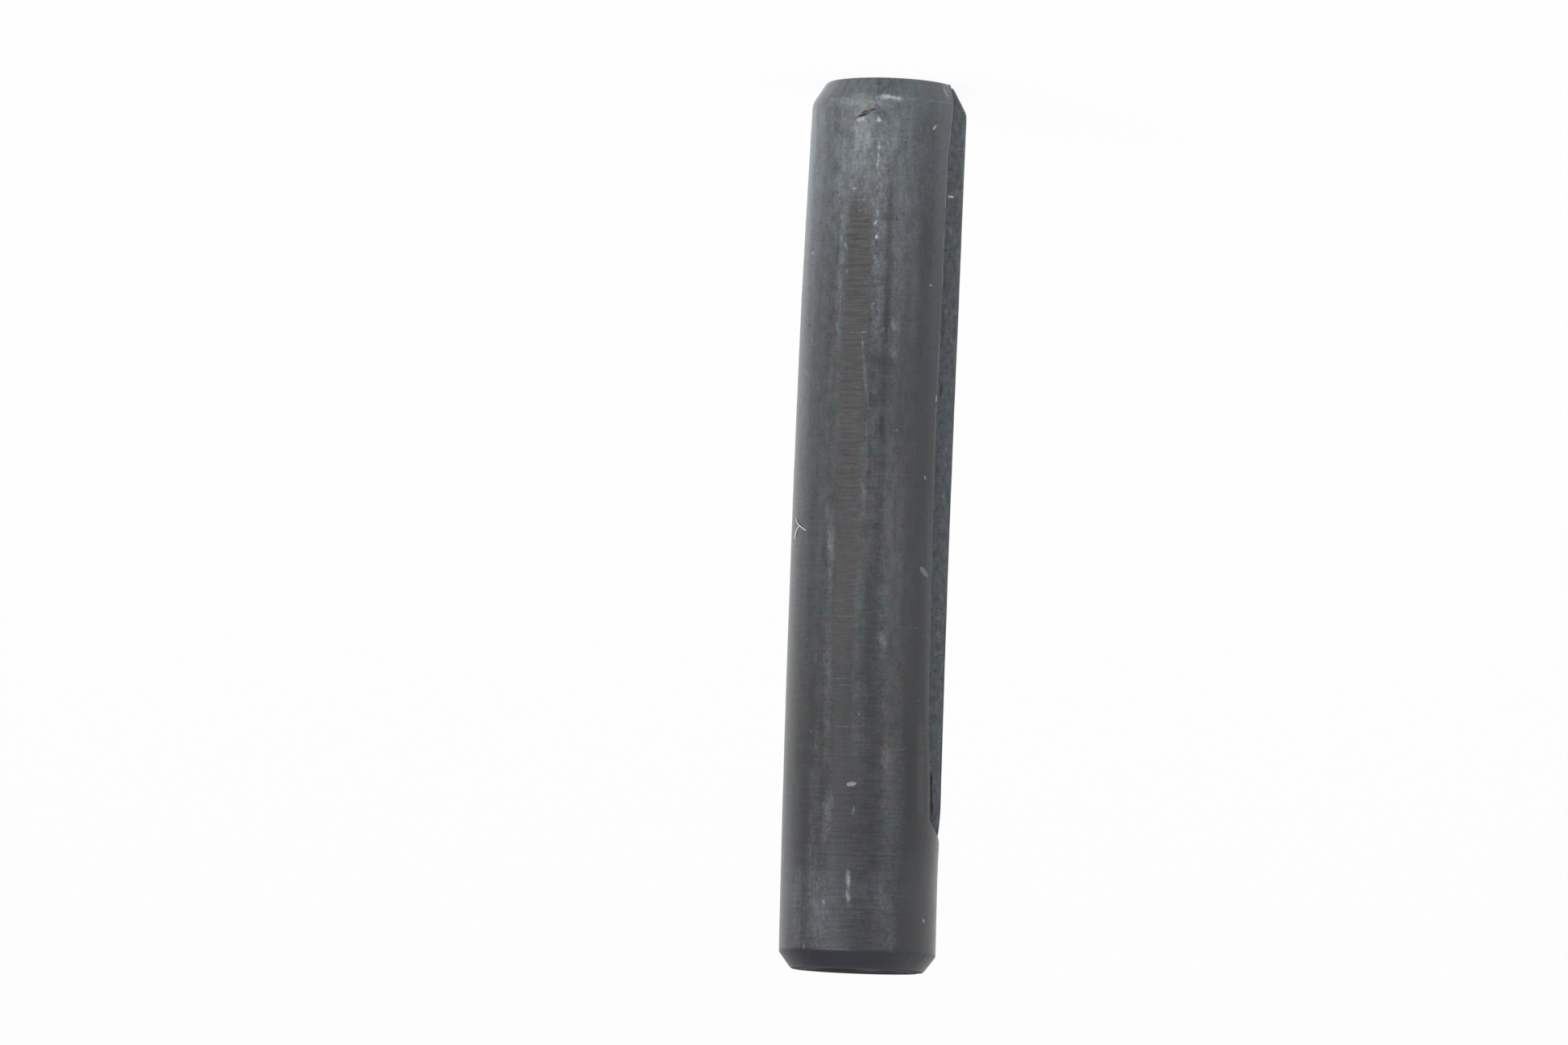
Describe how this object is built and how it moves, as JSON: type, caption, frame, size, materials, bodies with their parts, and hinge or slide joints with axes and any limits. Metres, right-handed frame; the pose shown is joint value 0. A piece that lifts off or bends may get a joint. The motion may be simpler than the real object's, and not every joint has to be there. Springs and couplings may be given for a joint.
{
  "type": "slotted spring pin",
  "caption": "Slotted tubular spring pin in black-oxide spring steel, chamfered at both ends, with its lips pinched together near the tip.",
  "frame": {"origin": "on the pin's axis, in the plane of the lead end that it stands on", "axes": "+Z along the pin's axis, from the lead end up to the pinched tip; the slot faces -X"},
  "size_m": [0.0054, 0.0054, 0.03],
  "materials": {
    "black_oxide_steel": "satin"
  },
  "bodies": {
    "root": {"spring_pin": "black_oxide_steel"}
  },
  "joints": []
}
